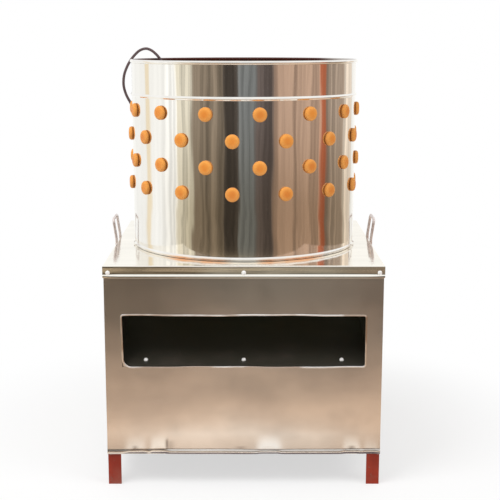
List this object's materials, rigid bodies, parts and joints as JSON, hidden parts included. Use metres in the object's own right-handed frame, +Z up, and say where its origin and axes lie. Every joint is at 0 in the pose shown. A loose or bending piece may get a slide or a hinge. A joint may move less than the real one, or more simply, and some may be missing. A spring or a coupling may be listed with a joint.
{
  "type": "poultry plucker",
  "caption": "Drum poultry plucker: a polished steel drum lined with orange rubber fingers over a belt-driven turntable, on a square cabinet with a feather outlet.",
  "frame": {"origin": "on the floor under the drum's axis, at the middle of the four feet", "axes": "+Z up along the drum's axis, -Y towards the feather outlet at the front, +X to the right seen from the front"},
  "size_m": [0.6662, 0.7165, 1.0035],
  "materials": {
    "polished_steel": "mirror polish with fine rolling marks",
    "panel_steel": "satin sheet with slight dents",
    "bright_steel": "bright zinc and drawn steel",
    "oxide_paint": "satin red-oxide paint",
    "chute_paint": "dull black paint",
    "orange_rubber": "satin moulded rubber",
    "black_rubber": "matt moulded rubber",
    "grey_iron": "machined and painted iron",
    "motor_paint": "satin enamel",
    "black_plastic": "satin moulded plastic",
    "lead_sheath": "satin black-brown sheath"
  },
  "bodies": {
    "cabinet": {"legs": "oxide_paint", "top_rails": "oxide_paint", "lower_rails": "oxide_paint", "bearing_beams": "oxide_paint", "motor_rails": "oxide_paint", "front_panel": "panel_steel", "rear_panel": "panel_steel", "left_panel": "panel_steel", "right_panel": "panel_steel", "outlet_lip": "bright_steel", "deck_cover": "polished_steel", "throat_ring": "polished_steel", "deck_screws": "bright_steel", "handle_left": "bright_steel", "handle_right": "bright_steel", "drum_shell": "polished_steel", "wall_fingers_1": "orange_rubber", "wall_fingers_2": "orange_rubber", "wall_fingers_3": "orange_rubber", "wall_fingers_4": "orange_rubber", "chute_floor": "chute_paint", "chute_walls": "chute_paint", "chute_support": "chute_paint", "chute_screws": "bright_steel", "spindle_housing": "grey_iron", "housing_bolts": "bright_steel", "bearing_outer_races": "bright_steel", "bearing_balls": "bright_steel", "shaft_seal": "black_rubber", "drive_belt": "black_rubber", "clamp_bolts": "bright_steel", "motor_lead": "lead_sheath", "lead_gland": "black_plastic", "mains_lead_rear": "lead_sheath", "mains_lead_coil": "lead_sheath", "mains_lead_rise": "lead_sheath", "lead_tie": "black_plastic", "lead_plug": "black_plastic"},
    "turntable": {"feather_plate": "polished_steel", "plate_fingers": "orange_rubber", "drive_hub": "grey_iron", "hub_bolts": "bright_steel", "hub_nut": "bright_steel", "main_shaft": "bright_steel", "bearing_inner_races": "bright_steel", "driven_pulley": "grey_iron"},
    "motor_carriage": {"motor_plate": "grey_iron", "tension_bolt": "bright_steel", "motor_lower_bell": "motor_paint", "motor_frame": "motor_paint", "motor_stator": "grey_iron", "motor_upper_bell": "motor_paint", "motor_bearings": "bright_steel", "fan_cover": "motor_paint", "terminal_box": "motor_paint", "motor_capacitor": "black_plastic", "motor_bolts": "bright_steel"},
    "motor_armature": {"motor_rotor": "grey_iron", "motor_pulley": "grey_iron", "cooling_fan": "black_plastic"}
  },
  "joints": [
    {"name": "plate_spin", "type": "hinge", "parent": "cabinet", "child": "turntable", "pos_m": [0, 0, 0.3], "axis": [0, 0, 1], "continuous": true},
    {"name": "motor_slide", "type": "slide", "parent": "cabinet", "child": "motor_carriage", "axis": [0, 1, 0], "range_m": [-0.012, 0], "deforming": ["motor_lead"]},
    {"name": "motor_spin", "type": "hinge", "parent": "motor_carriage", "child": "motor_armature", "pos_m": [0, 0.205, 0.3], "axis": [0, 0, 1], "continuous": true}
  ],
  "couplings": [
    {"joint": "motor_spin", "follows": "plate_spin", "ratio": 4.8333}
  ]
}
